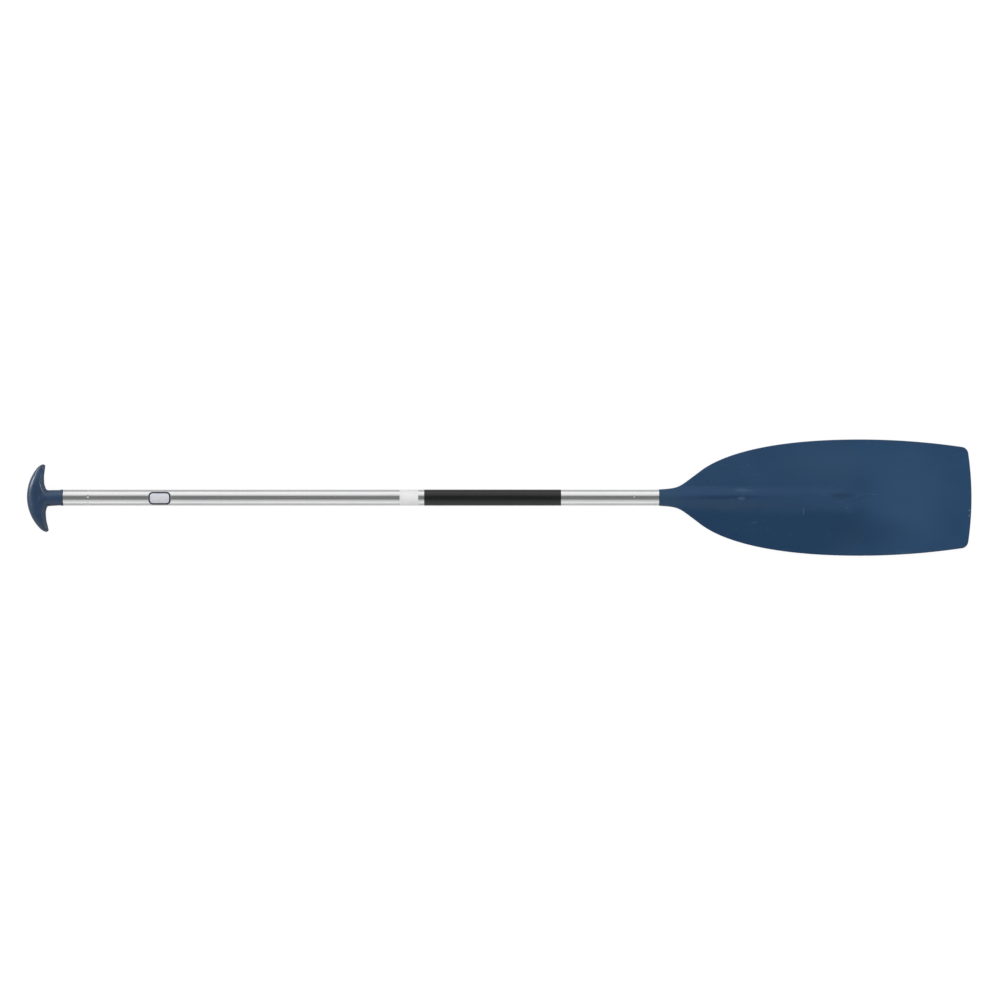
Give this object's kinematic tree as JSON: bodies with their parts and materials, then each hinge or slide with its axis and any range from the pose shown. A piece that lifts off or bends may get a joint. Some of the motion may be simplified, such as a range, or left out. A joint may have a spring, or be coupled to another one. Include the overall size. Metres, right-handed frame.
{
  "type": "boat paddle",
  "caption": "Boat paddle with a T-grip, an aluminium tube shaft with a sleeve for the lower hand, and a broad moulded blade with a spine.",
  "frame": {"origin": "under the middle of the paddle's length and width, on the surface that it lies on", "axes": "+X along the shaft from the grip's palm to the blade's tip, +Y across the blade, +Z out of the blade's upper face"},
  "size_m": [1.5, 0.1848, 0.0276],
  "materials": {
    "blade_plastic": "satin",
    "anodised_aluminium": "satin",
    "grip_plastic": "satin",
    "black_sleeve": "satin",
    "white_film": "matte",
    "label_film": "satin",
    "closed_cell_foam": "matte"
  },
  "bodies": {
    "root": {"blade": "blade_plastic", "shaft_tube": "anodised_aluminium", "t_grip": "grip_plastic", "grip_sleeve": "black_sleeve", "white_band": "white_film", "blank_label": "label_film", "upper_float_plug": "closed_cell_foam", "lower_float_plug": "closed_cell_foam"}
  },
  "joints": []
}
